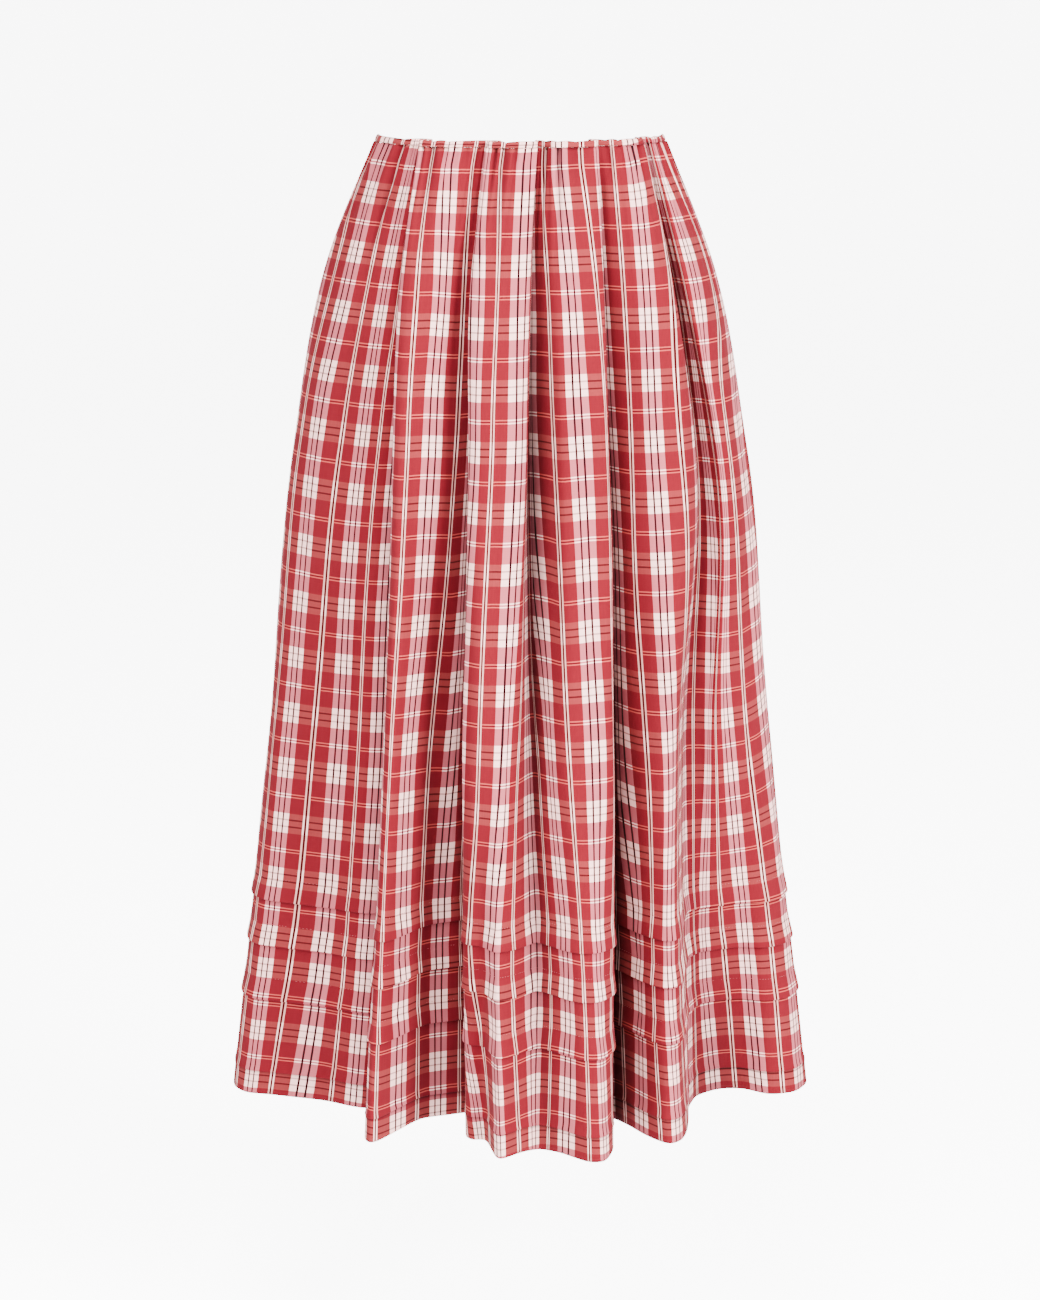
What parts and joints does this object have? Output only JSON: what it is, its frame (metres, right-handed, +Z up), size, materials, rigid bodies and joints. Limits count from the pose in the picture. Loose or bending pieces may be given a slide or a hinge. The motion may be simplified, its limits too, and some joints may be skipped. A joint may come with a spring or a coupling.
{
  "type": "gathered midi skirt",
  "caption": "Pull-on midi skirt in red and white plaid cotton: gathered narrow waist, deep hanging folds, pressed tucks and a banded hem, hollow as worn",
  "frame": {"origin": "middle of the waist opening at the top edge, where the skirt is held", "axes": "+Z up out of the waist, -Y the front, +X to the right of a person who looks at the front"},
  "size_m": [0.5184, 0.3829, 0.85],
  "materials": {
    "plaid_cotton": "light plain-woven cotton in a red and white plaid, matt"
  },
  "bodies": {
    "root": {"front_panel": "plaid_cotton", "back_panel": "plaid_cotton", "hem_band_front": "plaid_cotton", "hem_band_back": "plaid_cotton", "waist_casing": "plaid_cotton"}
  },
  "joints": []
}
